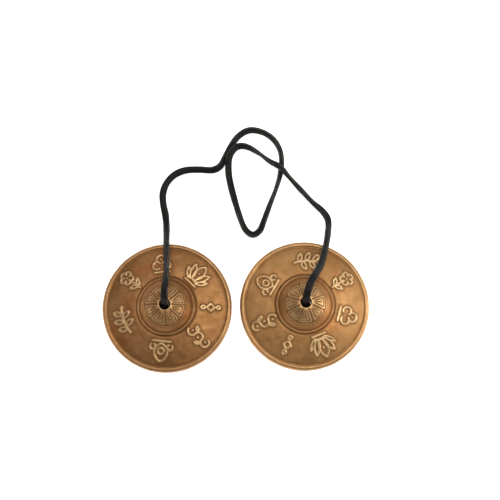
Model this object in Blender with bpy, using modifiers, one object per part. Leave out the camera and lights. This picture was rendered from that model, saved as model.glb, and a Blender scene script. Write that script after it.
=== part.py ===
"""Finger cymbals (tingsha): two cast bronze cymbals tied together by one leather lace.

Units are metres and +Z is up. The origin is midway between the two cymbals, on the surface
they lie on. +X runs from the left cymbal to the right one, and +Y towards the loose loop.
Each cymbal lies dome up. The lace comes up through the hole in its dome, runs back over the
rim, and a knot inside the hollow of the dome stops it from pulling through.
"""

import math

import bmesh
import bpy
from mathutils import Vector

MM = 0.001

# Driving dimensions of a cymbal
CYMBAL_DIAMETER = 65.0 * MM
CYMBAL_SPACING = 69.0 * MM
HOLE_RADIUS = 2.6 * MM
HOLE_CHAMFER = 0.3 * MM
DOME_OUTER_RADIUS = 15.7 * MM
DOME_OUTER_CENTRE = 0.9 * MM
DOME_INNER_RADIUS = 12.2 * MM
DOME_INNER_CENTRE = 0.9 * MM
DOME_FOOT_RADIUS = 13.4 * MM
BEAD_HEIGHT = 9.3 * MM
FIELD_INNER_RADIUS = 14.8 * MM
FIELD_INNER_HEIGHT = 8.4 * MM
FIELD_OUTER_RADIUS = 29.7 * MM
FIELD_OUTER_HEIGHT = 4.7 * MM
FIELD_CONVEXITY = 0.25
RIM_THICKNESS = 5.0 * MM
RIM_UPPER_ROUND = 1.6 * MM
RIM_LOWER_ROUND = 1.0 * MM
RIM_BAND_INNER_RADIUS = 30.2 * MM
RIM_BAND_INNER_HEIGHT = 4.9 * MM
REST_FACE_INNER_RADIUS = 27.4 * MM
UNDERSIDE_OUTER_RADIUS = 26.4 * MM
UNDERSIDE_OUTER_HEIGHT = 0.7 * MM
HOLLOW_MOUTH_RADIUS = 11.2 * MM
HOLLOW_LIP_RADIUS = 12.8 * MM
HOLLOW_LIP_HEIGHT = 5.1 * MM
DOME_STEPS = 7
FIELD_STEPS = 5
RIM_ROUND_STEPS = 4
TURNING_STEPS = 72
TURNING_MERGE_DISTANCE = 0.01 * MM

# The lace: a soft leather cord 3.6 mm wide and 2.2 mm thick, drawn here as a plain round tube
LACE_RADIUS = 1.35 * MM
LACE_POINT_SPACING = 4.0 * LACE_RADIUS
LACE_SIDES_RESOLUTION = 2
CURVE_STEPS_PER_SPAN = 10
BEND_GAP = 0.4 * MM
BALL_END_ANGLES = (35.0, 65.0, 85.0)

# The stopper knots
KNOT_RADIUS = 4.3 * MM
KNOT_HALF_HEIGHT = 3.3 * MM
KNOT_HEIGHT = 8.3 * MM
KNOT_SEGMENTS = 20
KNOT_RINGS = 12

# The lace's route in millimetres: from each knot to where it bends over the cymbal's rim, and
# the loose loop between the two bends
LEFT_LEAD = (
    (-34.5, 0.0, 12.0),
    (-34.5, 0.1, 15.0),
    (-34.4, 0.9, 18.3),
    (-34.2, 3.1, 21.0),
    (-33.9, 6.6, 22.0),
    (-33.7, 10.0, 21.1),
    (-33.6, 13.2, 18.9),
    (-33.7, 16.3, 16.3),
    (-33.9, 19.5, 13.9),
    (-34.2, 23.2, 11.6),
    (-34.5, 27.4, 9.4),
    (-34.8, 32.5, 7.0),
)
LOOP = (
    (-35.0, 36.4, 4.9),
    (-35.2, 40.2, 3.0),
    (-35.5, 44.4, 1.9),
    (-36.1, 49.0, 1.6),
    (-37.2, 54.5, 1.5),
    (-37.4, 60.0, 1.5),
    (-35.6, 65.4, 1.5),
    (-31.6, 69.9, 1.5),
    (-25.8, 72.4, 1.5),
    (-18.6, 72.7, 1.5),
    (-11.8, 72.3, 1.5),
    (-7.5, 74.3, 1.5),
    (-4.7, 79.4, 1.5),
    (-1.7, 85.2, 1.5),
    (2.3, 90.7, 1.5),
    (7.8, 93.8, 1.5),
    (14.0, 93.0, 1.7),
    (19.7, 89.5, 1.8),
    (23.5, 84.0, 1.8),
    (24.8, 77.5, 1.7),
    (23.9, 69.5, 1.5),
    (21.6, 61.7, 1.6),
    (18.1, 52.9, 1.6),
    (14.6, 43.6, 1.5),
    (12.7, 39.4, 1.5),
    (9.2, 37.3, 1.5),
    (5.7, 39.6, 1.5),
    (3.3, 44.6, 1.5),
    (0.5, 53.8, 1.5),
    (-2.0, 63.8, 1.5),
    (-3.1, 71.0, 1.8),
    (-2.8, 77.2, 3.7),
    (-1.2, 81.3, 4.4),
    (2.0, 84.1, 4.2),
    (6.4, 84.1, 3.6),
    (12.2, 80.9, 3.3),
    (18.3, 76.0, 4.0),
    (23.9, 72.4, 4.6),
    (28.3, 67.3, 3.8),
    (34.0, 61.2, 2.1),
    (40.2, 54.3, 1.5),
    (45.2, 49.6, 1.5),
    (47.8, 45.6, 1.7),
    (48.2, 41.6, 2.3),
    (47.6, 37.2, 4.2),
)
RIGHT_LEAD = (
    (46.6, 32.5, 6.8),
    (45.4, 27.6, 8.9),
    (44.1, 23.3, 11.0),
    (42.7, 19.6, 13.3),
    (41.1, 16.4, 15.9),
    (39.6, 13.8, 18.4),
    (38.0, 11.1, 20.6),
    (36.3, 8.0, 21.9),
    (35.0, 4.4, 21.5),
    (34.5, 1.4, 19.1),
    (34.5, 0.1, 15.6),
    (34.5, 0.0, 12.0),
)

BROWN_BRONZE_COLOUR = (0.27, 0.12, 0.045, 1.0)
GOLDEN_BRONZE_COLOUR = (0.40, 0.20, 0.068, 1.0)
BRONZE_ROUGHNESS = 0.38
LEATHER_COLOUR = (0.021, 0.019, 0.016, 1.0)
LEATHER_ROUGHNESS = 0.6


def clear_scene():
    for obj in list(bpy.data.objects):
        bpy.data.objects.remove(obj, do_unlink=True)


def new_collection(name):
    collection = bpy.data.collections.new(name)
    bpy.context.scene.collection.children.link(collection)
    return collection


def material(name, colour, roughness, metallic):
    made = bpy.data.materials.new(name)
    made.use_nodes = True
    shader = made.node_tree.nodes["Principled BSDF"]
    shader.inputs["Base Color"].default_value = colour
    shader.inputs["Roughness"].default_value = roughness
    shader.inputs["Metallic"].default_value = metallic
    return made


def place(obj, position, parent=None):
    """Puts an object at a world position, under a parent that is not turned or scaled."""
    obj.location = Vector(position)
    if parent is not None:
        obj.parent = parent
        obj.location -= parent.location


def arc(centre_radius, centre_height, radius, start_deg, end_deg, steps):
    """Points along an arc of a turned profile; 90 degrees is up and 0 is outwards."""
    angles = [start_deg + (end_deg - start_deg) * k / steps for k in range(steps + 1)]
    return [
        (
            centre_radius + radius * math.cos(math.radians(angle)),
            centre_height + radius * math.sin(math.radians(angle)),
        )
        for angle in angles
    ]


def dome_outside():
    """The domed boss from the hole's upper edge down to the bead round its foot."""
    start = math.degrees(math.acos((HOLE_RADIUS + HOLE_CHAMFER) / DOME_OUTER_RADIUS))
    end = math.degrees(math.acos(DOME_FOOT_RADIUS / DOME_OUTER_RADIUS))
    curve = arc(0.0, DOME_OUTER_CENTRE, DOME_OUTER_RADIUS, start, end, DOME_STEPS)
    edge_of_hole = (HOLE_RADIUS, curve[0][1] - HOLE_CHAMFER)
    bead = (0.5 * (DOME_FOOT_RADIUS + FIELD_INNER_RADIUS), BEAD_HEIGHT)
    return [edge_of_hole, *curve, bead]


def field():
    """The broad sloping field between the bead and the rim, a little convex."""
    drop = FIELD_INNER_HEIGHT - FIELD_OUTER_HEIGHT
    points = []
    for k in range(FIELD_STEPS + 1):
        t = k / FIELD_STEPS
        radius = FIELD_INNER_RADIUS + t * (FIELD_OUTER_RADIUS - FIELD_INNER_RADIUS)
        slope = (1.0 - FIELD_CONVEXITY) * t + FIELD_CONVEXITY * t * t
        points.append((radius, FIELD_INNER_HEIGHT - drop * slope))
    return points


def rim():
    """The thick raised band at the edge, rounded over and under, down to the flat rest face."""
    outside = 0.5 * CYMBAL_DIAMETER
    upper = arc(
        outside - RIM_UPPER_ROUND,
        RIM_THICKNESS - RIM_UPPER_ROUND,
        RIM_UPPER_ROUND,
        90,
        0,
        RIM_ROUND_STEPS,
    )
    lower = arc(
        outside - RIM_LOWER_ROUND,
        RIM_LOWER_ROUND,
        RIM_LOWER_ROUND,
        0,
        -90,
        RIM_ROUND_STEPS,
    )
    return [(RIM_BAND_INNER_RADIUS, RIM_BAND_INNER_HEIGHT), *upper, *lower]


def underside():
    """The rest face, the dished underside and the hollow of the dome, up to the hole."""
    mouth = math.degrees(math.acos(HOLLOW_MOUTH_RADIUS / DOME_INNER_RADIUS))
    top = math.degrees(math.acos(HOLE_RADIUS / DOME_INNER_RADIUS))
    hollow = arc(0.0, DOME_INNER_CENTRE, DOME_INNER_RADIUS, mouth, top, DOME_STEPS)
    return [
        (REST_FACE_INNER_RADIUS, 0.0),
        (UNDERSIDE_OUTER_RADIUS, UNDERSIDE_OUTER_HEIGHT),
        (HOLLOW_LIP_RADIUS, HOLLOW_LIP_HEIGHT),
        *hollow,
    ]


def cymbal_profile_mesh(name):
    """The closed outline that the cymbal is turned from, running down its outer side."""
    profile = [*dome_outside(), *field(), *rim(), *underside()]
    count = len(profile)
    mesh = bpy.data.meshes.new(name)
    mesh.from_pydata(
        [(radius, 0.0, height) for radius, height in profile],
        [(k, (k + 1) % count) for k in range(count)],
        [],
    )
    return mesh


def make_cymbal(name, centre_x, bronze, collection, parent):
    """One cymbal, turned about the axis of its own hole, which is the axis it swivels on."""
    cymbal = bpy.data.objects.new(name, cymbal_profile_mesh(name))
    collection.objects.link(cymbal)
    screw = cymbal.modifiers.new("Turning", "SCREW")
    screw.axis = "Z"
    screw.angle = math.tau
    screw.steps = TURNING_STEPS
    screw.render_steps = TURNING_STEPS
    screw.use_merge_vertices = True
    screw.merge_threshold = TURNING_MERGE_DISTANCE
    screw.use_smooth_shade = True
    cymbal.data.materials.append(bronze)
    place(cymbal, (centre_x, 0.0, 0.0), parent)
    return cymbal


def make_knot(name, centre_x, leather, collection, parent):
    """The outer shape of the knot that stops the lace inside the hollow of a dome."""
    mesh = bpy.data.meshes.new(name)
    shape = bmesh.new()
    bmesh.ops.create_uvsphere(
        shape, u_segments=KNOT_SEGMENTS, v_segments=KNOT_RINGS, radius=KNOT_RADIUS
    )
    bmesh.ops.scale(shape, vec=(1.0, 1.0, KNOT_HALF_HEIGHT / KNOT_RADIUS), verts=shape.verts)
    shape.to_mesh(mesh)
    shape.free()
    mesh.shade_smooth()
    mesh.materials.append(leather)
    knot = bpy.data.objects.new(name, mesh)
    collection.objects.link(knot)
    place(knot, (centre_x, 0.0, KNOT_HEIGHT), parent)
    return knot


def catmull_rom(before, start, end, after, t):
    return 0.5 * (
        2.0 * start
        + (end - before) * t
        + (2.0 * before - 5.0 * start + 4.0 * end - after) * t * t
        + (3.0 * start - before - 3.0 * end + after) * t * t * t
    )


def smooth_line(route, first, last):
    """A dense line from one route point to another, on a smooth curve through the whole route."""
    line = [route[first]]
    for k in range(first, last):
        before = route[max(k - 1, 0)]
        after = route[min(k + 2, len(route) - 1)]
        for step in range(1, CURVE_STEPS_PER_SPAN + 1):
            t = step / CURVE_STEPS_PER_SPAN
            line.append(catmull_rom(before, route[k], route[k + 1], after, t))
    return line


def evenly_spaced(line, spacing):
    """Points about one spacing apart along a dense line, with both of its ends."""
    lengths = [0.0]
    for a, b in zip(line, line[1:]):
        lengths.append(lengths[-1] + (b - a).length)
    count = max(2, round(lengths[-1] / spacing))
    points = []
    k = 0
    for step in range(count + 1):
        target = lengths[-1] * step / count
        while k < len(line) - 2 and lengths[k + 1] < target:
            k += 1
        share = (target - lengths[k]) / (lengths[k + 1] - lengths[k])
        points.append(line[k].lerp(line[k + 1], min(share, 1.0)))
    return points


def ball_end(points):
    """Extra points and radii that close the last end of a tube in a ball about its last point."""
    centre = points[-1]
    outwards = (centre - points[-2]).normalized()
    extra = []
    for angle in BALL_END_ANGLES:
        reach = LACE_RADIUS * math.sin(math.radians(angle))
        extra.append((centre + outwards * reach, math.cos(math.radians(angle))))
    return extra


def make_tube(name, points, leather, collection, parent, ball=False):
    """A stretch of the lace; with ball, its last end is a ball about the rim bend's axis."""
    placed = [(point, 1.0) for point in points]
    if ball:
        placed += ball_end(points)
    curve = bpy.data.curves.new(name, "CURVE")
    curve.dimensions = "3D"
    curve.bevel_depth = LACE_RADIUS
    curve.bevel_resolution = LACE_SIDES_RESOLUTION
    curve.use_fill_caps = True
    spline = curve.splines.new("POLY")
    spline.points.add(len(placed) - 1)
    spline.use_smooth = True
    origin = parent.location if parent is not None else Vector((0.0, 0.0, 0.0))
    for point, (position, radius) in zip(spline.points, placed):
        point.co = (*(position - origin), 1.0)
        point.radius = radius
    curve.materials.append(leather)
    tube = bpy.data.objects.new(name, curve)
    collection.objects.link(tube)
    place(tube, origin, parent)
    return tube


def shortened(points):
    """The same stretch, starting and ending clear of the balls at the two rim bends."""
    reach = LACE_RADIUS + BEND_GAP
    start = points[0] + (points[1] - points[0]).normalized() * reach
    end = points[-1] + (points[-2] - points[-1]).normalized() * reach
    return [start, *points[1:-1], end]


def bend_axis(name, position, collection):
    """An empty where the lace bends over a cymbal's rim: the cymbal tips about it."""
    empty = bpy.data.objects.new(name, None)
    collection.objects.link(empty)
    empty.location = position
    return empty


def build():
    clear_scene()
    collection = new_collection("finger_cymbals")
    brown_bronze = material("brown_bronze", BROWN_BRONZE_COLOUR, BRONZE_ROUGHNESS, 1.0)
    golden_bronze = material("golden_bronze", GOLDEN_BRONZE_COLOUR, BRONZE_ROUGHNESS, 1.0)
    leather = material("black_leather", LEATHER_COLOUR, LEATHER_ROUGHNESS, 0.0)

    route = [Vector(point) * MM for point in (*LEFT_LEAD, *LOOP, *RIGHT_LEAD)]
    left_bend = len(LEFT_LEAD) - 1
    right_bend = len(LEFT_LEAD) + len(LOOP)
    last = len(route) - 1
    left_line = smooth_line(route, 0, left_bend)
    loop_line = smooth_line(route, left_bend, right_bend)
    right_line = smooth_line(route, right_bend, last)[::-1]

    left_axis = bend_axis("left_rim_bend", route[left_bend], collection)
    right_axis = bend_axis("right_rim_bend", route[right_bend], collection)

    half_spacing = 0.5 * CYMBAL_SPACING
    for side, centre_x, bronze, axis, line in (
        ("left", -half_spacing, brown_bronze, left_axis, left_line),
        ("right", half_spacing, golden_bronze, right_axis, right_line),
    ):
        make_cymbal(f"cymbal_{side}", centre_x, bronze, collection, axis)
        make_knot(f"knot_{side}", centre_x, leather, collection, axis)
        lead = evenly_spaced(line, LACE_POINT_SPACING)
        make_tube(f"lace_lead_{side}", lead, leather, collection, axis, ball=True)

    loop = shortened(evenly_spaced(loop_line, LACE_POINT_SPACING))
    make_tube("lace_loop", loop, leather, collection, None)


build()
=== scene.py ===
"""Finger cymbals on a leather lace: the visual model, its materials, lights and camera.

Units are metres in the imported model's own frame: the origin is midway between the cymbals on
the surface they lie on, +X runs from the left cymbal to the right one, +Y towards the loose
loop of the lace, and +Z is up. Every cymbal is one dense turned mesh with cast ornaments; the
lace is two halves that meet, unseen, under the place where it crosses over itself.
"""

import math

import bpy
import numpy as np
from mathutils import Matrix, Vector


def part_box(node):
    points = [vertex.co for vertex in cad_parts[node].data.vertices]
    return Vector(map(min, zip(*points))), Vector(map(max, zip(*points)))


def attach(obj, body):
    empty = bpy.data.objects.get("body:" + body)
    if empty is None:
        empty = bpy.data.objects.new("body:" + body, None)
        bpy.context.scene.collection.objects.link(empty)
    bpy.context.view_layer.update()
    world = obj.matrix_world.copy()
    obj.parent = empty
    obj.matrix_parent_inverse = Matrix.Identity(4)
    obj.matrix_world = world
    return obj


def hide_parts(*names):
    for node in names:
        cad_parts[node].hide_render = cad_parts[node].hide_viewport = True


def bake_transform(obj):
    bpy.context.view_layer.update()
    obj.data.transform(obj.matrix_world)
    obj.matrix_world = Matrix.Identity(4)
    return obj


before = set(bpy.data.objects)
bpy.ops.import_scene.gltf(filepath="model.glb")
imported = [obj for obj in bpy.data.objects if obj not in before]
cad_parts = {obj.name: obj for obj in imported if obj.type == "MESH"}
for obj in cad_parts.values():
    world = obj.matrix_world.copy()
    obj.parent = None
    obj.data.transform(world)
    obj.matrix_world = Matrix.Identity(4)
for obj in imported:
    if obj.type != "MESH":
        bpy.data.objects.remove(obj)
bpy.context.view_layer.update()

MM = 0.001

# Camera
CAMERA_PLACE = (7.55 * MM, -50.45 * MM, 392.3 * MM)
CAMERA_TILT_DEG = 11.53
CAMERA_ROLL_DEG = -0.8
CAMERA_LENS = 55.96
CAMERA_SENSOR = 36.0

# The studio's brightness by height: from where the walls end to where the ceiling starts, as
# shares of straight up, and the brightness of walls and ceiling
WALLS_TO_CEILING = (0.08, 0.55, 0.80, 0.20)

# The cymbal's turned shape, as in the CAD model
CYMBAL_RADIUS = 32.5 * MM
HOLE_RADIUS = 2.6 * MM
HOLE_ROUND = 0.4 * MM
DOME_RADIUS = 15.7 * MM
DOME_CENTRE = 0.9 * MM
DOME_FOOT_RADIUS = 13.4 * MM
BEAD_RADIUS = 13.95 * MM
FIELD_INNER_RADIUS = 14.8 * MM
FIELD_INNER_HEIGHT = 8.4 * MM
FIELD_OUTER_RADIUS = 29.7 * MM
FIELD_OUTER_HEIGHT = 4.7 * MM
FIELD_CONVEXITY = 0.25
RIM_THICKNESS = 5.0 * MM
RIM_UPPER_ROUND = 1.6 * MM
RIM_LOWER_ROUND = 1.0 * MM
RIM_BAND_INNER_RADIUS = 30.3 * MM
REST_FACE_INNER_RADIUS = 27.4 * MM
UNDERSIDE_OUTER_RADIUS = 26.4 * MM
UNDERSIDE_OUTER_HEIGHT = 0.7 * MM
HOLLOW_LIP_RADIUS = 12.8 * MM
HOLLOW_LIP_HEIGHT = 5.1 * MM
HOLLOW_RADIUS = 12.2 * MM
HOLLOW_CENTRE = 0.9 * MM
HOLLOW_MOUTH_RADIUS = 11.2 * MM

# How finely each zone of the cymbal is divided: segments round it, and the size of one step
BASE_SEGMENTS = 140
DOME_SEGMENTS = 2 * BASE_SEGMENTS
FIELD_SEGMENTS = 6 * BASE_SEGMENTS
RIM_SEGMENTS = 3 * BASE_SEGMENTS
DOME_STEP = 0.25 * MM
FIELD_STEP = 0.2 * MM
UNDERSIDE_STEP = 1.0 * MM
HOLE_EDGE_STEP = 0.15 * MM
RIM_EDGE_STEP = 0.3 * MM
REST_EDGE_WIDTH = 0.4 * MM
DISH_RINGS = 14

# Turned detail: the bead round the dome, the groove outside it and the groove inside the rim
BEAD_RISE = 0.95 * MM
BEAD_SPREAD = 0.5 * MM
BEAD_GROOVE_RADIUS = 14.95 * MM
BEAD_GROOVE_DEPTH = 0.35 * MM
RIM_GROOVE_RADIUS = 29.75 * MM
RIM_GROOVE_DEPTH = 0.11 * MM
GROOVE_SPREAD = 0.45 * MM
# Where the rim's flat band rises out of its groove: (distance outwards, drop below the band)
RIM_BAND_RISE = ((0.0, 0.20 * MM), (0.25 * MM, 0.05 * MM))

# Cast and engraved detail
ORNAMENT_RING_RADIUS = 22.0 * MM
STROKE_HALF_WIDTH = 0.76 * MM
STROKE_SHOULDER = 0.5 * MM
STROKE_HEIGHT = 0.6 * MM
STROKE_FOOT = 0.1 * MM
FAR_FROM_DETAIL = 1.0
PETALS = 8
PETAL_END = 9.8 * MM
PETAL_GAP = 0.28 * MM
PETAL_BORDER = 0.95 * MM
PETAL_CORNER = 1.0 * MM
PETAL_START = 3.5 * MM
PETAL_BORDER_START = 4.3 * MM
PETAL_VEIN = (4.9 * MM, 7.4 * MM)
PETAL_END_FLATNESS = 0.6
# The petals aren't quite even: (size of the shift in radians, waves round the dome, phase)
PETAL_SHIFTS = ((0.05, 2.0, 0.7), (0.03, 5.0, 0.0))
FAINT_RING = 10.8 * MM
FAINT_RING_LOSS = 0.14 * MM
ENGRAVING_DEPTH = 0.25 * MM
ENGRAVING_REACH = 0.34 * MM
# The casting's unevenness: (height, wavelength)
LUMPS = ((0.035 * MM, 7.0 * MM), (0.012 * MM, 1.6 * MM))
LEFT_CASTING_TURN_DEG = 0.0
RIGHT_CASTING_TURN_DEG = -113.0
LEFT_LUMPS_SEED = 11
RIGHT_LUMPS_SEED = 23

# How strongly each part of a cymbal is made bright or dark, 0 to 1: by wear and dirt, and in
# some places by painted highlight and painted shade, as noted below
ORNAMENT_WEAR = 0.9
BEAD_WEAR = 0.25
# The rim band's brightening is partly wear and partly a painted highlight
RIM_WEAR_AND_HIGHLIGHT = 0.25
RIM_WEAR_AND_HIGHLIGHT_FADE = 0.5 * MM
HOLE_EDGE_WEAR = 0.7
HOLE_EDGE_WIDTH = 1.7 * MM
ENGRAVING_WEAR = 0.45
# Painted shade on the field round each cast stroke: its reach and its darkness
HALO_WIDTH = 1.4 * MM
STROKE_PAINTED_SHADE = 0.42
# Darkening in the groove outside the bead and at the dome's foot: partly dirt, partly painted shade
BEAD_GROOVE_DIRT_AND_SHADE = 0.65
BEAD_FOOT_DIRT_AND_SHADE = 0.5
# The darkening in the groove inside the rim is painted shade
RIM_GROOVE_PAINTED_SHADE = 0.35
ENGRAVING_DIRT = 0.9
DOME_DIRT = 0.1
BEAD_FOOT_RADIUS = DOME_FOOT_RADIUS - 0.4 * MM
BEAD_DIRT_AND_SHADE_SPREAD = 0.6 * MM

# The lace: its section, and how its centreline was drawn in the CAD model
LACE_HALF_WIDTH = 1.8 * MM
LACE_HALF_THICKNESS = 1.08 * MM
LACE_CAD_RADIUS = 1.35 * MM
LACE_SIDES = 24
LACE_STEP = 0.5 * MM
STRAP_ROUNDNESS = 0.72
LACE_SWELL = 0.035
LACE_SWELL_LENGTH = 9.0 * MM
LACE_SWELL_SEED = 5
TWIST_SMOOTHING_STEPS = 13
LYING_HEIGHT = 3.0 * MM
LIFTED_HEIGHT = 6.0 * MM
CURVE_STEPS_PER_SPAN = 10

# The lace's route in millimetres: from each knot to where it bends over the cymbal's rim, and
# the loose loop between the two bends
LEFT_LEAD = (
    (-34.5, 0.0, 12.0),
    (-34.5, 0.1, 15.0),
    (-34.4, 0.9, 18.3),
    (-34.2, 3.1, 21.0),
    (-33.9, 6.6, 22.0),
    (-33.7, 10.0, 21.1),
    (-33.6, 13.2, 18.9),
    (-33.7, 16.3, 16.3),
    (-33.9, 19.5, 13.9),
    (-34.2, 23.2, 11.6),
    (-34.5, 27.4, 9.4),
    (-34.8, 32.5, 7.0),
)
LOOP = (
    (-35.0, 36.4, 4.9),
    (-35.2, 40.2, 3.0),
    (-35.5, 44.4, 1.9),
    (-36.1, 49.0, 1.6),
    (-37.2, 54.5, 1.5),
    (-37.4, 60.0, 1.5),
    (-35.6, 65.4, 1.5),
    (-31.6, 69.9, 1.5),
    (-25.8, 72.4, 1.5),
    (-18.6, 72.7, 1.5),
    (-11.8, 72.3, 1.5),
    (-7.5, 74.3, 1.5),
    (-4.7, 79.4, 1.5),
    (-1.7, 85.2, 1.5),
    (2.3, 90.7, 1.5),
    (7.8, 93.8, 1.5),
    (14.0, 93.0, 1.7),
    (19.7, 89.5, 1.8),
    (23.5, 84.0, 1.8),
    (24.8, 77.5, 1.7),
    (23.9, 69.5, 1.5),
    (21.6, 61.7, 1.6),
    (18.1, 52.9, 1.6),
    (14.6, 43.6, 1.5),
    (12.7, 39.4, 1.5),
    (9.2, 37.3, 1.5),
    (5.7, 39.6, 1.5),
    (3.3, 44.6, 1.5),
    (0.5, 53.8, 1.5),
    (-2.0, 63.8, 1.5),
    (-3.1, 71.0, 1.8),
    (-2.8, 77.2, 3.7),
    (-1.2, 81.3, 4.4),
    (2.0, 84.1, 4.2),
    (6.4, 84.1, 3.6),
    (12.2, 80.9, 3.3),
    (18.3, 76.0, 4.0),
    (23.9, 72.4, 4.6),
    (28.3, 67.3, 3.8),
    (34.0, 61.2, 2.1),
    (40.2, 54.3, 1.5),
    (45.2, 49.6, 1.5),
    (47.8, 45.6, 1.7),
    (48.2, 41.6, 2.3),
    (47.6, 37.2, 4.2),
)
RIGHT_LEAD = (
    (46.6, 32.5, 6.8),
    (45.4, 27.6, 8.9),
    (44.1, 23.3, 11.0),
    (42.7, 19.6, 13.3),
    (41.1, 16.4, 15.9),
    (39.6, 13.8, 18.4),
    (38.0, 11.1, 20.6),
    (36.3, 8.0, 21.9),
    (35.0, 4.4, 21.5),
    (34.5, 1.4, 19.1),
    (34.5, 0.1, 15.6),
    (34.5, 0.0, 12.0),
)

# How far the lace is turned from lying flat: (place in the route, degrees)
LACE_TWIST = (
    (0, 12),
    (4, 24),
    (7, 56),
    (9, 50),
    (11, 38),
    (13, 34),
    (15, 5),
    (18, -5),
    (20, -20),
    (22, -35),
    (24, -49),
    (26, -50),
    (28, -62),
    (30, -75),
    (32, -56),
    (33, -80),
    (34, -58),
    (36, -25),
    (38, -30),
    (39, -52),
    (41, -20),
    (43, -14),
    (45, -36),
    (47, -85),
    (48, -130),
    (49, -146),
    (50, -112),
    (51, -135),
    (52, -118),
    (53, -172),
    (54, -180),
    (55, -135),
    (57, -142),
    (60, -148),
    (63, -170),
    (65, -182),
    (68, -182),
)
SEAM_PLACE = (24.6 * MM, 73.0 * MM, 1.6 * MM)

# The stopper knots in the hollows of the domes
KNOT_HEIGHT = 8.4 * MM
KNOT_RING_RADIUS = 2.7 * MM
KNOT_WIND_RADIUS = 1.5 * MM
KNOT_LACE_HALF_WIDTH = 1.6 * MM
KNOT_LACE_HALF_THICKNESS = 1.1 * MM
KNOT_LACE_TURN = 0.6
KNOT_WINDING = (0.10, 0.93)
KNOT_WINDING_STEPS = 120
KNOT_TOP = ((0.0, 0.0, 12.6), (0.1, 0.1, 11.6))
KNOT_TAIL = ((4.6, -2.6, 6.6), (6.2, -3.8, 5.2), (7.6, -4.9, 3.9))

# The colours of each bronze: two for the patina's patches, its redder places, rubbed metal, which
# also paints the highlight on the rim, and dirt, which also paints shade round the strokes and in
# the grooves; and the place in the noise that its patches are taken from
BROWN_BRONZE = {
    "field": (0.30, 0.140, 0.050, 1.0),
    "warm": (0.36, 0.172, 0.066, 1.0),
    "ruddy": (0.34, 0.125, 0.040, 1.0),
    "wear_and_highlight": (0.66, 0.430, 0.210, 1.0),
    "dirt_and_shade": (0.10, 0.042, 0.013, 1.0),
    "place": (0.0, 0.0, 0.0),
}
GOLDEN_BRONZE = {
    "field": (0.37, 0.185, 0.066, 1.0),
    "warm": (0.45, 0.235, 0.090, 1.0),
    "ruddy": (0.42, 0.170, 0.050, 1.0),
    "wear_and_highlight": (0.72, 0.480, 0.240, 1.0),
    "dirt_and_shade": (0.12, 0.052, 0.016, 1.0),
    "place": (0.2, 0.1, 0.0),
}
LEATHER_DARK = (0.0042, 0.0035, 0.0027, 1.0)
LEATHER_BROWN = (0.015, 0.013, 0.010, 1.0)
# The paler scuffs along the strap's edges are also painted highlights
LEATHER_SCUFF_AND_HIGHLIGHT = (0.060, 0.052, 0.042, 1.0)

# The table, and the lamps: (name, place, size, power)
FLOOR_HALF_WIDTH = 2.5
LIGHTS = (
    ("key", (0.34, 0.06, 0.75), (0.35, 0.5), 1.4),
    ("overhead", (0.0, 0.22, 0.85), (0.9, 0.8), 3.7),
    ("low_from_the_right", (0.65, -0.04, 0.22), (0.25, 0.5), 1.7),
    ("low_from_the_left", (-0.65, -0.10, 0.14), (0.2, 0.5), 0.35),
)
LIGHT_TARGET = (0.0, 0.02, 0.0)


# --- Curves -------------------------------------------------------------------------------


def catmull_rom(before, start, end, after, t):
    """The point at t, 0 to 1, between start and end on a smooth curve through all four."""
    return 0.5 * (
        2.0 * start
        + (end - before) * t
        + (2.0 * before - 5.0 * start + 4.0 * end - after) * t * t
        + (3.0 * start - before - 3.0 * end + after) * t * t * t
    )


def smooth_line(route):
    """A dense line on a smooth curve through the route's points, and each point's place in it."""
    line = [route[0]]
    places = [0.0]
    for k in range(len(route) - 1):
        before = route[max(k - 1, 0)]
        after = route[min(k + 2, len(route) - 1)]
        for step in range(1, CURVE_STEPS_PER_SPAN + 1):
            t = step / CURVE_STEPS_PER_SPAN
            line.append(catmull_rom(before, route[k], route[k + 1], after, t))
            places.append(k + t)
    return np.array(line), np.array(places)


def evenly_spaced(line, values, spacing):
    """Points about one spacing apart along the line, their values, and their distances along it."""
    steps = np.linalg.norm(np.diff(line, axis=0), axis=1)
    distance = np.concatenate([[0.0], np.cumsum(steps)])
    count = int(round(distance[-1] / spacing)) + 1
    wanted = np.linspace(0.0, distance[-1], count)
    points = np.stack([np.interp(wanted, distance, line[:, k]) for k in range(3)], axis=1)
    return points, np.interp(wanted, distance, values), wanted


def unit(vectors):
    """The same directions, each of length 1."""
    return vectors / np.linalg.norm(vectors, axis=-1, keepdims=True)


def smooth_noise(points, wavelength, seed, waves=14):
    """A smooth pattern from about -1 to 1: plane waves in seeded directions, added together."""
    random = np.random.default_rng(seed)
    total = np.zeros(len(points))
    for _ in range(waves):
        direction = unit(random.normal(size=3))
        scale = math.tau / (wavelength * random.uniform(0.6, 1.8))
        total += np.sin(points @ direction * scale + random.uniform(0.0, math.tau))
    return total / math.sqrt(waves)


def smoothstep(low, high, value):
    """0 below low and 1 above high, with a smooth rise between them."""
    t = np.clip((value - low) / (high - low), 0.0, 1.0)
    return t * t * (3.0 - 2.0 * t)


# --- The lace -----------------------------------------------------------------------------


def section_sides(tangents):
    """A level direction across the line at each point; where it rises steeply, its neighbour's."""
    sides = []
    side = np.array([1.0, 0.0, 0.0])
    for tangent in tangents:
        level = np.array([tangent[1], -tangent[0], 0.0])
        reach = np.linalg.norm(level)
        if reach > 0.05:
            level = level / reach
            level = level if level @ side > 0.0 else -level
            side = side + (level - side) * smoothstep(0.05, 0.5, reach)
        side = unit(side - tangent * (side @ tangent))
        sides.append(side)
    return np.array(sides)


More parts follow.
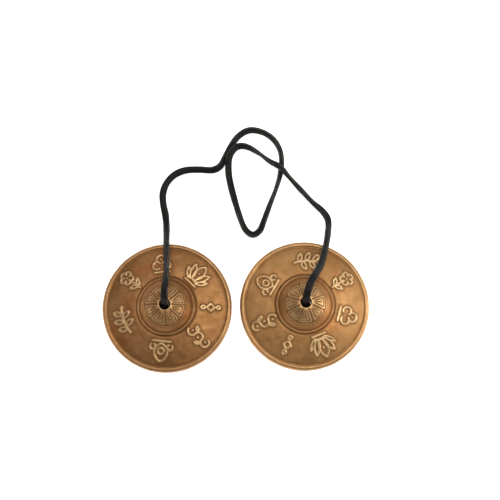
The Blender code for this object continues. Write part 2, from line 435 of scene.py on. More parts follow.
def lace_mesh(name, points, turns, along, half_width, half_thickness):
    """A soft flat-sided strap along a line, turned about it by an angle at each point."""
    tangents = unit(np.gradient(points, axis=0))
    sides = section_sides(tangents)
    ups = np.cross(sides, tangents)
    cosines = np.cos(turns)[:, None]
    sines = np.sin(turns)[:, None]
    across = cosines * sides + sines * ups
    through = cosines * ups - sines * sides
    swell = 1.0 + LACE_SWELL * smooth_noise(points, LACE_SWELL_LENGTH, LACE_SWELL_SEED)
    vertices = []
    corners = []
    for k in range(LACE_SIDES):
        angle = math.tau * k / LACE_SIDES
        x = math.copysign(abs(math.cos(angle)) ** STRAP_ROUNDNESS, math.cos(angle))
        y = math.copysign(abs(math.sin(angle)) ** STRAP_ROUNDNESS, math.sin(angle))
        vertices.append(
            points
            + across * (x * half_width * swell)[:, None]
            + through * (y * half_thickness * swell)[:, None]
        )
        corners.append(np.stack([along, np.full(len(points), x), np.full(len(points), y)], axis=1))
    rings = len(points)
    vertices = np.stack(vertices, axis=1).reshape(-1, 3)
    grain = np.stack(corners, axis=1).reshape(-1, 3)
    faces = []
    for ring in range(rings - 1):
        for k in range(LACE_SIDES):
            here = ring * LACE_SIDES
            beyond = (k + 1) % LACE_SIDES
            faces.append(
                (here + k, here + beyond, here + LACE_SIDES + beyond, here + LACE_SIDES + k)
            )
    faces.append(tuple(range(LACE_SIDES))[::-1])
    faces.append(tuple((rings - 1) * LACE_SIDES + k for k in range(LACE_SIDES)))
    mesh = bpy.data.meshes.new(name)
    mesh.from_pydata(vertices, [], faces)
    mesh.update()
    store(mesh, "grain_place", grain * np.array([1.0 / MM, 1.0, 1.0]), "FLOAT_VECTOR")
    outwards(mesh)
    mesh.shade_smooth()
    return mesh


def outwards(mesh):
    """Turns every face of a closed mesh the right way out."""
    mesh.calc_loop_triangles()
    places = np.empty(3 * len(mesh.vertices), np.float32)
    mesh.vertices.foreach_get("co", places)
    triangles = np.empty(3 * len(mesh.loop_triangles), np.int32)
    mesh.loop_triangles.foreach_get("vertices", triangles)
    corners = places.reshape(-1, 3)[triangles].reshape(-1, 3, 3).astype(float)
    volume = np.einsum("ij,ij->i", corners[:, 0], np.cross(corners[:, 1], corners[:, 2])).sum()
    if volume < 0.0:
        mesh.flip_normals()


def store(mesh, name, values, kind):
    """Keeps a number or a vector for each vertex, for a material to read."""
    attribute = mesh.attributes.new(name, kind, "POINT")
    key = "vector" if kind == "FLOAT_VECTOR" else "value"
    attribute.data.foreach_set(key, np.asarray(values, np.float32).ravel())


def new_piece(name, mesh, material):
    """An object in the scene, with one material."""
    piece = bpy.data.objects.new(name, mesh)
    bpy.context.scene.collection.objects.link(piece)
    mesh.materials.append(material)
    return piece


def settle_on_floor(points, turns):
    """Lifts or lowers the flat stretches, so that the turned strap just touches the floor."""
    tangents = unit(np.gradient(points, axis=0))
    level = np.sqrt(1.0 - tangents[:, 2] ** 2)
    reach = np.hypot(LACE_HALF_WIDTH * np.sin(turns), LACE_HALF_THICKNESS * np.cos(turns))
    low = 1.0 - smoothstep(LYING_HEIGHT, LIFTED_HEIGHT, points[:, 2])
    settled = points.copy()
    settled[:, 2] += (reach * level - LACE_CAD_RADIUS) * low
    settled[:, 2] = np.where(low > 0.5, np.maximum(settled[:, 2], reach * level), settled[:, 2])
    return settled


def make_lace(leather):
    """Both halves of the lace: (piece, its centreline) for the left and the right."""
    route = np.array([*LEFT_LEAD, *LOOP, *RIGHT_LEAD]) * MM
    line, places = smooth_line(route)
    points, places, along = evenly_spaced(line, places, LACE_STEP)
    turns = np.radians(np.interp(places, *zip(*LACE_TWIST)))
    average = np.full(TWIST_SMOOTHING_STEPS, 1.0 / TWIST_SMOOTHING_STEPS)
    turns = np.convolve(np.pad(turns, TWIST_SMOOTHING_STEPS // 2, mode="edge"), average, mode="valid")
    points = settle_on_floor(points, turns)
    seam = int(np.argmin(np.linalg.norm(points - np.array(SEAM_PLACE), axis=1)))
    halves = []
    for name, part in (
        ("left_lace_half", slice(0, seam + 1)),
        ("right_lace_half", slice(seam, len(points))),
    ):
        mesh = lace_mesh(
            name, points[part], turns[part], along[part], LACE_HALF_WIDTH, LACE_HALF_THICKNESS
        )
        halves.append((new_piece(name, mesh, leather), points[part]))
    return halves


def knot_line():
    """An overhand knot pulled tight: down from the hole, one and a half turns, and a short tail."""
    first, last = KNOT_WINDING
    wind = np.linspace(first * math.tau, last * math.tau, KNOT_WINDING_STEPS)
    ring = KNOT_RING_RADIUS + KNOT_WIND_RADIUS * np.cos(3.0 * wind)
    body = np.column_stack(
        [
            ring * np.cos(2.0 * wind),
            ring * np.sin(2.0 * wind),
            KNOT_WIND_RADIUS * np.sin(3.0 * wind),
        ]
    )
    body[:, 2] += KNOT_HEIGHT
    start = np.array(KNOT_TOP) * MM
    tail = np.array(KNOT_TAIL) * MM
    return np.concatenate([start, body[4:-4:8], tail])


def make_knot(name, centre_x, leather):
    """The stopper knot in the hollow of the dome whose hole is at centre_x."""
    line, _ = smooth_line(knot_line())
    line[:, 0] += centre_x
    points, _, along = evenly_spaced(line, np.zeros(len(line)), LACE_STEP)
    mesh = lace_mesh(
        name,
        points,
        np.full(len(points), KNOT_LACE_TURN),
        along,
        KNOT_LACE_HALF_WIDTH,
        KNOT_LACE_HALF_THICKNESS,
    )
    return new_piece(name, mesh, leather)


# --- Cast ornaments -----------------------------------------------------------------------
# Each ornament is a tuple of strokes in millimetres, x across it and y outwards from the hole:
# ("line", x0, y0, x1, y1), ("arc", centre x, centre y, radius, from degrees, to degrees)
# or ("dot", x, y, extra half width)


def path(*points):
    """Straight strokes from each point to the next."""
    return tuple(("line", *start, *end) for start, end in zip(points, points[1:]))


def bow(x0, y0, x1, y1, rise):
    """An arc from one point to another that rises to the left of the straight way."""
    span = math.hypot(x1 - x0, y1 - y0)
    radius = (span * span / 4.0 + rise * rise) / (2.0 * rise)
    left_x = -(y1 - y0) / span
    left_y = (x1 - x0) / span
    centre_x = 0.5 * (x0 + x1) - left_x * (radius - rise)
    centre_y = 0.5 * (y0 + y1) - left_y * (radius - rise)
    middle = math.degrees(math.atan2(left_y, left_x))
    half = math.degrees(math.asin(0.5 * span / radius))
    return ("arc", centre_x, centre_y, radius, middle - half, middle + half)


def leaf(x0, y0, x1, y1, rise):
    """Two bows that meet at both points."""
    return (bow(x0, y0, x1, y1, rise), bow(x1, y1, x0, y0, rise))


def flower(x, y, ring, petal, count):
    """A ring of open petals round a dot."""
    strokes = [("dot", x, y, 0.0)]
    for k in range(count):
        heading = 90.0 + 360.0 * k / count
        petal_x = x + ring * math.cos(math.radians(heading))
        petal_y = y + ring * math.sin(math.radians(heading))
        strokes.append(("arc", petal_x, petal_y, petal, heading - 125.0, heading + 125.0))
    return tuple(strokes)


LOTUS = (
    *leaf(0.0, -3.6, 0.0, 5.7, 2.2),
    *leaf(-1.3, -3.7, -4.6, 3.6, 1.3),
    *leaf(1.3, -3.7, 4.6, 3.6, 1.3),
    *leaf(-2.4, -4.1, -6.3, 0.2, 0.8),
    *leaf(2.4, -4.1, 6.3, 0.2, 0.8),
    *path((-3.4, -5.4), (3.4, -5.4)),
    ("dot", 0.0, 1.0, 0.1),
)
JEWEL = (
    ("arc", 0.0, 0.2, 1.5, 0, 360),
    *leaf(0.0, -3.5, 0.0, 5.1, 3.1),
    ("arc", -4.2, -1.8, 1.3, -60, 220),
    ("arc", 4.2, -1.8, 1.3, -40, 240),
    *path((-4.4, -4.7), (4.4, -4.7)),
)
BRANCH = (
    bow(-6.6, -1.4, 6.6, -0.6, 1.2),
    *leaf(-4.4, -0.4, -3.4, 3.8, 1.0),
    *leaf(-0.8, 0.4, 0.9, 4.7, 1.0),
    *leaf(2.8, 0.5, 5.4, 3.9, 1.0),
    *leaf(-2.6, -0.1, -0.8, -4.2, 1.0),
    *leaf(1.3, 0.2, 3.7, -3.5, 1.0),
    ("dot", 6.9, -0.6, 0.3),
)
LOZENGE = (
    *path((0.0, -2.0), (1.9, 0.0), (0.0, 2.0), (-1.9, 0.0), (0.0, -2.0)),
    *leaf(0.0, 2.8, 0.0, 4.7, 0.8),
    *leaf(0.0, -2.8, 0.0, -4.7, 0.8),
)
VINE = (
    ("arc", 0.0, -4.2, 2.1, -80, 90),
    ("arc", 0.0, 0.0, 2.1, 90, 270),
    ("arc", 0.0, 4.2, 2.1, -90, 170),
    ("dot", -0.4, -4.2, 0.1),
    ("dot", 0.5, 0.0, 0.1),
    ("dot", -0.3, 4.2, 0.1),
    *leaf(-1.7, -1.8, -3.3, -4.1, 0.6),
    *leaf(1.9, 2.6, 3.3, 0.3, 0.6),
)
CLOUD = (
    ("arc", -2.3, -1.0, 2.0, 40, 300),
    ("arc", 2.3, -1.0, 2.0, -120, 140),
    ("arc", 0.0, 2.2, 2.2, -30, 210),
    *path((-3.6, -4.6), (3.6, -4.6)),
    ("dot", 0.0, 2.2, 0.0),
)
BLOSSOM = (
    *flower(0.0, 2.8, 2.1, 1.25, 5),
    *path((0.0, 0.2), (0.0, -5.8)),
    *leaf(0.0, -4.4, 3.1, -1.9, 0.8),
    *leaf(0.0, -4.4, -3.1, -1.9, 0.8),
)
# (ornament, its direction from the hole in degrees)
ORNAMENTS = (
    (CLOUD, 97),
    (LOTUS, 45),
    (LOZENGE, -2),
    (VINE, -44),
    (JEWEL, -97),
    (BRANCH, -162),
    (BLOSSOM, 144),
)


def line_distance(x, y, x0, y0, x1, y1):
    """How far each place is from a straight stroke."""
    length_squared = (x1 - x0) ** 2 + (y1 - y0) ** 2
    t = np.clip(((x - x0) * (x1 - x0) + (y - y0) * (y1 - y0)) / length_squared, 0.0, 1.0)
    return np.hypot(x - x0 - t * (x1 - x0), y - y0 - t * (y1 - y0))


def arc_distance(x, y, centre_x, centre_y, radius, start_deg, end_deg):
    """How far each place is from an arc."""
    middle = math.radians(0.5 * (start_deg + end_deg))
    half = math.radians(0.5 * (end_deg - start_deg))
    angle = np.arctan2(y - centre_y, x - centre_x) - middle
    angle = (angle + math.pi) % math.tau - math.pi
    nearest = np.clip(angle, -half, half) + middle
    return np.hypot(
        x - centre_x - radius * np.cos(nearest), y - centre_y - radius * np.sin(nearest)
    )


def stroke_distance(x, y, stroke):
    """How far each place is from a line, an arc or a dot, in millimetres."""
    kind, *numbers = stroke
    if kind == "line":
        return line_distance(x, y, *numbers)
    if kind == "arc":
        return arc_distance(x, y, *numbers)
    dot_x, dot_y, extra = numbers
    return np.hypot(x - dot_x, y - dot_y) - extra


def ornament_distance(radius, angle, turn):
    """How far each place on a cymbal is from the nearest cast stroke."""
    nearest = np.full(len(radius), FAR_FROM_DETAIL)
    for strokes, direction_deg in ORNAMENTS:
        direction = math.radians(direction_deg) + turn
        x = -radius * np.sin(angle - direction) / MM
        y = (radius * np.cos(angle - direction) - ORNAMENT_RING_RADIUS) / MM
        for stroke in strokes:
            nearest = np.minimum(nearest, stroke_distance(x, y, stroke) * MM)
    return nearest


def rounded_corner(first, second):
    """The lesser of two distances, with the corner between them rounded off."""
    overlap = np.maximum(PETAL_CORNER - np.abs(first - second), 0.0)
    return np.minimum(first, second) - overlap * overlap / (4.0 * PETAL_CORNER)


def petal_distance(radius, angle, turn):
    """How far each place on the dome is from the nearest line engraved round the hole."""
    half = math.pi / PETALS
    own = angle - turn
    shifted = own
    for size, waves, phase in PETAL_SHIFTS:
        shifted = shifted + size * np.sin(waves * own + phase)
    petal = shifted % (2.0 * half) - half
    along = PETAL_END_FLATNESS * radius * np.cos(petal) + (1.0 - PETAL_END_FLATNESS) * radius
    across = np.abs(radius * np.sin(petal))
    from_side = along * math.sin(half) - across * math.cos(half)
    outline = rounded_corner(from_side - PETAL_GAP, PETAL_END - along)
    border = np.hypot(outline - PETAL_BORDER, np.maximum(PETAL_BORDER_START - radius, 0.0))
    vein_start, vein_end = PETAL_VEIN
    vein_miss = np.maximum(vein_start - radius, 0.0) + np.maximum(radius - vein_end, 0.0)
    vein = np.hypot(across, vein_miss)
    ring = np.abs(along - FAINT_RING) + FAINT_RING_LOSS
    nearest = np.minimum.reduce([np.abs(outline), border, vein, ring])
    return np.hypot(nearest, np.maximum(PETAL_START - radius, 0.0))


# --- The cymbals --------------------------------------------------------------------------


def arc_points(centre_height, radius, centre_radius, start, end, step):
    """Points along an arc of the turned profile; start and end are in radians, 0 outwards."""
    count = max(2, int(round(abs(end - start) * radius / step)))
    angles = np.linspace(start, end, count + 1)
    return [
        (centre_radius + radius * math.cos(a), centre_height + radius * math.sin(a))
        for a in angles
    ]


def ridge(radius, place, spread):
    """1 at one radius, fading away to either side."""
    return np.exp(-(((radius - place) / spread) ** 2))


def field_height(radius):
    """The field's slope, with the bead and groove at its inner edge and the groove at the rim."""
    t = np.clip(
        (radius - FIELD_INNER_RADIUS) / (FIELD_OUTER_RADIUS - FIELD_INNER_RADIUS), 0.0, 1.0
    )
    drop = FIELD_INNER_HEIGHT - FIELD_OUTER_HEIGHT
    slope = (1.0 - FIELD_CONVEXITY) * t + FIELD_CONVEXITY * t * t
    height = FIELD_INNER_HEIGHT - drop * slope
    height += BEAD_RISE * ridge(radius, BEAD_RADIUS, BEAD_SPREAD)
    height -= BEAD_GROOVE_DEPTH * ridge(radius, BEAD_GROOVE_RADIUS, GROOVE_SPREAD)
    height -= RIM_GROOVE_DEPTH * ridge(radius, RIM_GROOVE_RADIUS, GROOVE_SPREAD)
    return height


def cymbal_profile():
    """The closed outline, down its outer side: (radius, height, segments round, zone)."""
    rings = []

    def add(points, segments, zone):
        """Adds one ring for each point of the outline."""
        rings.extend((radius, height, segments, zone) for radius, height in points)

    top = math.acos((HOLE_RADIUS + HOLE_ROUND) / DOME_RADIUS)
    foot = math.acos(DOME_FOOT_RADIUS / DOME_RADIUS)
    crest = DOME_CENTRE + DOME_RADIUS * math.sin(top)
    add(
        arc_points(
            crest - HOLE_ROUND,
            HOLE_ROUND,
            HOLE_RADIUS + HOLE_ROUND,
            math.pi,
            0.6 * math.pi,
            HOLE_EDGE_STEP,
        ),
        DOME_SEGMENTS,
        "dome",
    )
    add(arc_points(DOME_CENTRE, DOME_RADIUS, 0.0, top, foot, DOME_STEP), DOME_SEGMENTS, "dome")
    field = np.arange(DOME_FOOT_RADIUS + FIELD_STEP, RIM_BAND_INNER_RADIUS, FIELD_STEP)
    add(zip(field, field_height(field)), FIELD_SEGMENTS, "field")
    add(
        [(RIM_BAND_INNER_RADIUS + out, RIM_THICKNESS - drop) for out, drop in RIM_BAND_RISE],
        RIM_SEGMENTS,
        "rim",
    )
    upper = CYMBAL_RADIUS - RIM_UPPER_ROUND
    lower = CYMBAL_RADIUS - RIM_LOWER_ROUND
    rest_edge = lower - REST_EDGE_WIDTH
    quarter = 0.5 * math.pi
    add(
        arc_points(
            RIM_THICKNESS - RIM_UPPER_ROUND,
            RIM_UPPER_ROUND,
            upper,
            quarter,
            0.0,
            RIM_EDGE_STEP,
        ),
        RIM_SEGMENTS,
        "rim",
    )
    add([(CYMBAL_RADIUS, 0.5 * RIM_THICKNESS)], RIM_SEGMENTS, "rim")
    add(
        arc_points(RIM_LOWER_ROUND, RIM_LOWER_ROUND, lower, 0.0, -quarter, RIM_EDGE_STEP),
        RIM_SEGMENTS,
        "rim",
    )
    add([(rest_edge, 0.0)], RIM_SEGMENTS, "under")
    rest = np.arange(rest_edge - UNDERSIDE_STEP, REST_FACE_INNER_RADIUS, -UNDERSIDE_STEP)
    add([(radius, 0.0) for radius in (*rest, REST_FACE_INNER_RADIUS)], BASE_SEGMENTS, "under")
    dish = np.linspace(0.0, 1.0, DISH_RINGS)
    add(
        [
            (
                UNDERSIDE_OUTER_RADIUS + (HOLLOW_LIP_RADIUS - UNDERSIDE_OUTER_RADIUS) * t,
                UNDERSIDE_OUTER_HEIGHT + (HOLLOW_LIP_HEIGHT - UNDERSIDE_OUTER_HEIGHT) * t,
            )
            for t in dish
        ],
        BASE_SEGMENTS,
        "under",
    )
    mouth = math.acos(HOLLOW_MOUTH_RADIUS / HOLLOW_RADIUS)
    inner_top = math.acos(HOLE_RADIUS / HOLLOW_RADIUS)
    add(
        arc_points(HOLLOW_CENTRE, HOLLOW_RADIUS, 0.0, mouth, inner_top, UNDERSIDE_STEP),
        BASE_SEGMENTS,
        "under",
    )
    return rings


def strip(first, second):
    """Faces between two rings of (start, count), where one count is a multiple of the other."""
    a, m = first
    b, n = second
    faces = []
    if m == n:
        for i in range(m):
            j = (i + 1) % m
            faces.append((a + i, b + i, b + j, a + j))
        return faces
    flip = m > n
    coarse, few, fine, many = (b, n, a, m) if flip else (a, m, b, n)
    ratio = many // few
    for i in range(few):
        j = (i + 1) % few
        for k in range(ratio):
            near = i if k < ratio // 2 else j
            one = fine + i * ratio + k
            two = fine + (i * ratio + k + 1) % many
            faces.append((one, coarse + near, two) if flip else (coarse + near, one, two))
        middle = fine + i * ratio + ratio // 2
        faces.append((coarse + j, middle, coarse + i) if flip else (coarse + i, middle, coarse + j))
    return faces


def spread_rings(rings):
    """The vertices of all rings: radius, height, angle, the way out, and each one's zone."""
    outline = np.array([(radius, height) for radius, height, _, _ in rings])
    counts = np.array([segments for _, _, segments, _ in rings])
    run = unit(np.roll(outline, -1, axis=0) - np.roll(outline, 1, axis=0))
    radius, height = np.repeat(outline, counts, axis=0).T
    out_radial, out_up = np.repeat(run[:, ::-1] * (-1.0, 1.0), counts, axis=0).T
    angle = np.concatenate([np.arange(count) * math.tau / count for count in counts])
    zones = np.repeat([zone for _, _, _, zone in rings], counts)
    return radius, height, angle, out_radial, out_up, zones


def ring_faces(rings):
    """Faces joining each ring to the next, and the last to the first."""
    counts = [segments for _, _, segments, _ in rings]
    starts = [sum(counts[:k]) for k in range(len(counts))]
    spans = list(zip(starts, counts))
    faces = []
    for here, there in zip(spans, spans[1:] + spans[:1]):
        faces.extend(strip(here, there))
    return faces


def cymbal_mesh(name, centre_x, turn, seed):
    """One casting, with what its material needs to know kept at every vertex."""
    rings = cymbal_profile()
    radius, height, angle, out_radial, out_up, zones = spread_rings(rings)
    on_field = zones == "field"
    on_rim = zones == "rim"
    on_dome = (zones == "dome") & (radius > HOLE_RADIUS + HOLE_ROUND)
    under = zones == "under"

    stroke = np.where(on_field | on_rim, ornament_distance(radius, angle, turn), FAR_FROM_DETAIL)
    engraved = np.where(on_dome, petal_distance(radius, angle, turn), FAR_FROM_DETAIL)
    raised = 1.0 - smoothstep(
        STROKE_HALF_WIDTH - STROKE_SHOULDER, STROKE_HALF_WIDTH + STROKE_FOOT, stroke
    )
    cut = 1.0 - smoothstep(0.0, ENGRAVING_REACH, engraved)

    around = np.stack([np.cos(angle), np.sin(angle)], axis=1)
    base = np.column_stack([around * radius[:, None], height])
    push = STROKE_HEIGHT * raised - ENGRAVING_DEPTH * cut
    for k, (size, wavelength) in enumerate(LUMPS):
        push += np.where(under, 0.0, size * smooth_noise(base, wavelength, seed + k))
    vertices = base + np.column_stack([around * (out_radial * push)[:, None], out_up * push])
    vertices[:, 0] += centre_x
    mesh = bpy.data.meshes.new(name)
    mesh.from_pydata(vertices, [], ring_faces(rings))
    mesh.update()
    outwards(mesh)

    # The rim band is brightened partly for wear and partly as a painted highlight
    band = smoothstep(RIM_BAND_INNER_RADIUS, RIM_BAND_INNER_RADIUS + RIM_WEAR_AND_HIGHLIGHT_FADE, radius)
    band = band * on_rim
    hole_edge = 1.0 - smoothstep(HOLE_RADIUS, HOLE_RADIUS + HOLE_EDGE_WIDTH, radius)
    hole_edge = hole_edge * (zones == "dome")
    lotus = (1.0 - smoothstep(PETAL_END - PETAL_BORDER, FAINT_RING, radius)) * on_dome
    wear_and_highlight = np.maximum.reduce(
        [
            ORNAMENT_WEAR * raised,
            BEAD_WEAR * ridge(radius, BEAD_RADIUS, BEAD_SPREAD) * on_field,
            RIM_WEAR_AND_HIGHLIGHT * band,
            HOLE_EDGE_WEAR * hole_edge,
            ENGRAVING_WEAR * lotus * (1.0 - cut),
        ]
    )
    # Darkening: painted shade round the cast strokes and in the rim's groove; dirt and painted shade
    # in the bead's groove and at the dome's foot; dirt in the engraving and a darker tone on the dome
    painted_shade_halo = 1.0 - smoothstep(STROKE_HALF_WIDTH, STROKE_HALF_WIDTH + HALO_WIDTH, stroke)
    dirt_and_shade = np.maximum.reduce(
        [
            STROKE_PAINTED_SHADE * painted_shade_halo * (1.0 - raised),
            BEAD_GROOVE_DIRT_AND_SHADE * ridge(radius, BEAD_GROOVE_RADIUS, BEAD_DIRT_AND_SHADE_SPREAD) * on_field,
            RIM_GROOVE_PAINTED_SHADE * ridge(radius, RIM_GROOVE_RADIUS, GROOVE_SPREAD) * on_field,
            BEAD_FOOT_DIRT_AND_SHADE * ridge(radius, BEAD_FOOT_RADIUS, BEAD_DIRT_AND_SHADE_SPREAD),
            ENGRAVING_DIRT * cut,
            DOME_DIRT * on_dome * (1.0 - lotus),
        ]
    )
    dirt_and_shade = np.where(under, 0.0, dirt_and_shade)
    store(mesh, "wear_and_highlight", wear_and_highlight, "FLOAT")
    store(mesh, "dirt_and_shade", dirt_and_shade, "FLOAT")
    store(mesh, "turned", under.astype(float), "FLOAT")
    store(mesh, "from_axis", radius / MM, "FLOAT")
    mesh.shade_smooth()
    return mesh


# --- Materials ----------------------------------------------------------------------------


RANGE_SOCKETS = ("From Min", "From Max", "To Min", "To Max")


class Nodes:
    """A short way to write a material's node tree."""

    def __init__(self, name):
        self.material = bpy.data.materials.new(name)
        self.material.use_nodes = True
        self.tree = self.material.node_tree
        self.shader = self.tree.nodes["Principled BSDF"]

    def add(self, kind, settings=None, **inputs):
        """A new node; settings are its properties, and inputs are numbers or other sockets."""
        node = self.tree.nodes.new(kind)
        for key, value in (settings or {}).items():
            setattr(node, key, value)
        for key, value in inputs.items():
            self.feed(node.inputs[key.replace("_", " ")], value)
        return node

    def feed(self, socket, value):
        """Links a socket to another, or sets it to a number or a colour."""
        if isinstance(value, bpy.types.NodeSocket):
            self.tree.links.new(value, socket)
        else:
            socket.default_value = value

    def attribute(self, name):
        return self.add("ShaderNodeAttribute", {"attribute_name": name})

    def noise(self, vector, scale, detail=3.0):
        node = self.add("ShaderNodeTexNoise", Vector=vector, Scale=scale, Detail=detail)
        return node.outputs["Fac"]

    def between(self, value, low, high, to_low=0.0, to_high=1.0):
        """A smooth rise from to_low to to_high as the value goes from low to high."""
        node = self.add("ShaderNodeMapRange", {"interpolation_type": "SMOOTHSTEP"}, Value=value)
        for socket, number in zip(RANGE_SOCKETS, (low, high, to_low, to_high)):
            node.inputs[socket].default_value = number
        return node.outputs["Result"]

    def math(self, operation, first, second):
        node = self.add("ShaderNodeMath", {"operation": operation})
        self.feed(node.inputs[0], first)
        self.feed(node.inputs[1], second)
        return node.outputs["Value"]

    def mix(self, share, first, second):
        node = self.add("ShaderNodeMix", {"data_type": "RGBA"})
        self.feed(node.inputs[0], share)
        self.feed(node.inputs[6], first)
        self.feed(node.inputs[7], second)
        return node.outputs[2]

    def bump(self, height, strength, distance, normal=None):
        node = self.add("ShaderNodeBump", Strength=strength, Distance=distance, Height=height)
        if normal is not None:
            self.feed(node.inputs["Normal"], normal)
        return node.outputs["Normal"]


def bronze_material(name, field, warm, ruddy, wear_and_highlight, dirt_and_shade, place):
    """Cast bronze: mottled patina on the field; dark in the recesses with dirt and painted shade;
    bright where it is rubbed, and with a painted highlight on the rim.
    """
    nodes = Nodes(name)
    coordinates = nodes.add("ShaderNodeTexCoord").outputs["Object"]
    where = nodes.add("ShaderNodeMapping", Vector=coordinates, Location=place).outputs["Vector"]
    fine = nodes.noise(where, 420.0, 5.0)
    grit = nodes.noise(where, 2600.0, 3.0)

    patches = nodes.between(nodes.noise(where, 45.0, 4.0), 0.38, 0.66)
    colour = nodes.mix(patches, field, warm)
    red = nodes.between(nodes.noise(where, 70.0, 2.0), 0.5, 0.68, 0.0, 0.7)
    colour = nodes.mix(red, colour, ruddy)
    speckle = nodes.between(fine, 0.45, 0.75, 0.0, 0.16)
    colour = nodes.mix(speckle, colour, wear_and_highlight)

    # Darkened with dirt, which round the strokes and in the grooves is painted shade
    dirt_and_shade_share = nodes.attribute("dirt_and_shade").outputs["Fac"]
    dirt_and_shade_share = nodes.math("MULTIPLY", dirt_and_shade_share, nodes.between(fine, 0.2, 0.6, 0.65, 0.95))
    colour = nodes.mix(dirt_and_shade_share, colour, dirt_and_shade)
    # Brightened where worn, which on the rim band is also a painted highlight
    wear_and_highlight_share = nodes.attribute("wear_and_highlight").outputs["Fac"]
    wear_and_highlight_share = nodes.math("MULTIPLY", wear_and_highlight_share, nodes.between(fine, 0.3, 0.55, 0.7, 1.0))
    colour = nodes.mix(wear_and_highlight_share, colour, wear_and_highlight)

    turned = nodes.attribute("turned").outputs["Fac"]
    from_axis = nodes.attribute("from_axis").outputs["Fac"]
    rings = nodes.add(
        "ShaderNodeTexNoise", {"noise_dimensions": "1D"}, W=from_axis, Scale=1.6, Detail=4.0
    ).outputs["Fac"]
    bare = nodes.math("MULTIPLY", turned, nodes.between(rings, 0.35, 0.65, 0.36, 0.56))
    colour = nodes.mix(bare, colour, wear_and_highlight)
    nodes.feed(nodes.shader.inputs["Base Color"], colour)

    rough = nodes.between(nodes.noise(where, 160.0, 3.0), 0.3, 0.7, 0.40, 0.56)
    rough = nodes.math("SUBTRACT", rough, nodes.math("MULTIPLY", wear_and_highlight_share, 0.08))
    rough = nodes.math("ADD", rough, nodes.math("MULTIPLY", dirt_and_shade_share, 0.2))
    nodes.feed(nodes.shader.inputs["Roughness"], rough)
    nodes.shader.inputs["Metallic"].default_value = 1.0

    normal = nodes.bump(grit, 0.25, 0.04 * MM)
    normal = nodes.bump(fine, 0.35, 0.08 * MM, normal)
    normal = nodes.bump(nodes.math("MULTIPLY", rings, turned), 0.35, 0.15 * MM, normal)
    nodes.feed(nodes.shader.inputs["Normal"], normal)
    return nodes.material


def leather_material():
    """Black-brown leather: fine grain, long creases, and paler scuffs along the strap's edges, which
    are also painted highlights.
    """
    nodes = Nodes("black_leather_lace")
    place = nodes.attribute("grain_place").outputs["Vector"]
    creased = nodes.add("ShaderNodeMapping", Vector=place, Scale=(0.3, 1.8, 1.8)).outputs["Vector"]
    pores = nodes.add("ShaderNodeMapping", Vector=place, Scale=(2.2, 2.6, 2.6)).outputs["Vector"]
    creases = nodes.noise(creased, 1.0, 4.0)
    grain = nodes.add("ShaderNodeTexVoronoi", Vector=pores, Scale=2.0).outputs["Distance"]
    across = nodes.add("ShaderNodeSeparateXYZ", Vector=place).outputs["Y"]
    # The strap's edges are paler: scuffs, and also a painted highlight
    edge = nodes.between(nodes.math("ABSOLUTE", across, 0.0), 0.72, 0.98)
    scuffs_and_highlights = nodes.math("MULTIPLY", edge, nodes.between(creases, 0.40, 0.62))

    colour = nodes.mix(nodes.between(creases, 0.45, 0.75), LEATHER_DARK, LEATHER_BROWN)
    colour = nodes.mix(scuffs_and_highlights, colour, LEATHER_SCUFF_AND_HIGHLIGHT)
    nodes.feed(nodes.shader.inputs["Base Color"], colour)
    nodes.feed(nodes.shader.inputs["Roughness"], nodes.between(creases, 0.3, 0.7, 0.42, 0.62))
    nodes.shader.inputs["Specular IOR Level"].default_value = 0.18
    normal = nodes.bump(grain, 0.25, 0.06 * MM)
    normal = nodes.bump(creases, 0.5, 0.15 * MM, normal)
    nodes.feed(nodes.shader.inputs["Normal"], normal)
    return nodes.material


def floor_material():
    """A white ground that shines a little by itself, so that it stays plain white."""
    nodes = Nodes("white_table")
    nodes.shader.inputs["Base Color"].default_value = (0.86, 0.86, 0.86, 1.0)
    nodes.shader.inputs["Roughness"].default_value = 0.9
    nodes.shader.inputs["Specular IOR Level"].default_value = 0.0
    nodes.shader.inputs["Emission Color"].default_value = (1.0, 1.0, 1.0, 1.0)
    nodes.shader.inputs["Emission Strength"].default_value = 0.85
    return nodes.material


# --- Floor, lights and camera -------------------------------------------------------------


def make_floor():
    """The plain ground that the cymbals lie on, which is only for the picture."""
    mesh = bpy.data.meshes.new("floor")
    half = FLOOR_HALF_WIDTH
    mesh.from_pydata(
        [(-half, -half, 0.0), (half, -half, 0.0), (half, half, 0.0), (-half, half, 0.0)],
        [],
        [(0, 1, 2, 3)],
    )
    floor = new_piece("floor", mesh, floor_material())


def make_light(name, place, size, power):
    """A rectangular lamp that faces the cymbals."""
    light = bpy.data.lights.new(name, "AREA")
    light.shape = "RECTANGLE"
    light.size, light.size_y = size
    light.energy = power
    lamp = bpy.data.objects.new(name, light)
    bpy.context.scene.collection.objects.link(lamp)
    lamp.location = place
    facing = Vector(LIGHT_TARGET) - Vector(place)
    lamp.rotation_euler = facing.to_track_quat("-Z", "Y").to_euler()


def make_surroundings():
    """A white studio: bright walls at the height of the table, dimmer overhead."""
    world = bpy.data.worlds.new("white_studio")
    world.use_nodes = True
    nodes = world.node_tree.nodes
    links = world.node_tree.links
    direction = nodes.new("ShaderNodeTexCoord")
    height = nodes.new("ShaderNodeSeparateXYZ")
    strength = nodes.new("ShaderNodeMapRange")
    strength.interpolation_type = "SMOOTHSTEP"
    for socket, number in zip(RANGE_SOCKETS, WALLS_TO_CEILING):
        strength.inputs[socket].default_value = number
    links.new(direction.outputs["Generated"], height.inputs["Vector"])
    links.new(height.outputs["Z"], strength.inputs["Value"])
    links.new(strength.outputs["Result"], nodes["Background"].inputs["Strength"])
    nodes["Background"].inputs["Color"].default_value = (1.0, 1.0, 1.0, 1.0)
    bpy.context.scene.world = world
    bpy.context.scene.view_settings.view_transform = "Standard"


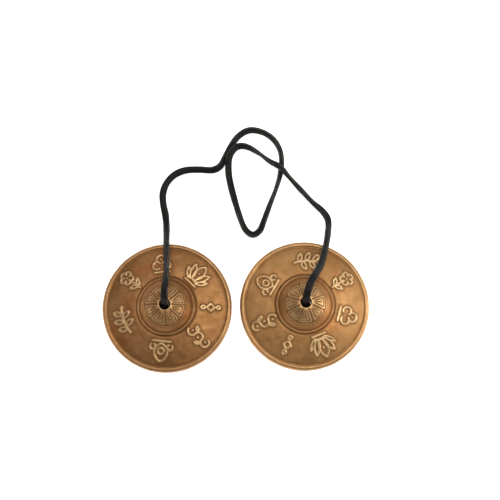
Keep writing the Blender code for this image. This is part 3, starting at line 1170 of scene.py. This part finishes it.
def make_camera():
    """The camera, above the cymbals and a little in front, looking down and slightly back."""
    camera_data = bpy.data.cameras.new("camera")
    camera_data.sensor_width = CAMERA_SENSOR
    camera_data.lens = CAMERA_LENS
    camera_data.clip_start = 0.01
    camera = bpy.data.objects.new("camera", camera_data)
    bpy.context.scene.collection.objects.link(camera)
    camera.location = CAMERA_PLACE
    camera.rotation_mode = "ZYX"
    camera.rotation_euler = (math.radians(CAMERA_TILT_DEG), 0.0, math.radians(CAMERA_ROLL_DEG))
    bpy.context.scene.camera = camera


# --- Building -----------------------------------------------------------------------------


def node_centre(node):
    """The middle of a CAD node from left to right."""
    low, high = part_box(node)
    return 0.5 * (low[0] + high[0])


def make_casting(side, bronze, turn, seed):
    """One cymbal, in the place of its CAD node and on its body."""
    node = f"cymbal_{side}"
    name = f"{side}_casting"
    cymbal = new_piece(name, cymbal_mesh(name, node_centre(node), turn, seed), bronze)
    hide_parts(node)
    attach(cymbal, f"{side}_cymbal")


def make_stopper_knot(side, leather):
    """One knot, in the place of its CAD node; it moves with its end of the lace."""
    knot = make_knot(f"{side}_stopper_knot", node_centre(f"cymbal_{side}"), leather)
    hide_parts(f"knot_{side}")
    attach(knot, f"{side}_lead")
    return knot


def declare_lace_half(side, half):
    """Hides the lace's CAD nodes and bakes the half's place into its mesh."""
    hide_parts(f"lace_lead_{side}", "lace_loop")
    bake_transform(half)


def main():
    """Builds the camera, both cymbals with their knots and lace, and the studio."""
    make_camera()
    leather = leather_material()
    brown = bronze_material("brown_bronze", **BROWN_BRONZE)
    golden = bronze_material("golden_bronze", **GOLDEN_BRONZE)
    halves = make_lace(leather)
    for side, bronze, turn_deg, seed, (half, centreline) in (
        ("left", brown, LEFT_CASTING_TURN_DEG, LEFT_LUMPS_SEED, halves[0]),
        ("right", golden, RIGHT_CASTING_TURN_DEG, RIGHT_LUMPS_SEED, halves[1]),
    ):
        make_casting(side, bronze, math.radians(turn_deg), seed)
        knot = make_stopper_knot(side, leather)
        declare_lace_half(side, half)
    make_floor()
    for name, place, size, power in LIGHTS:
        make_light(name, place, size, power)
    make_surroundings()


main()
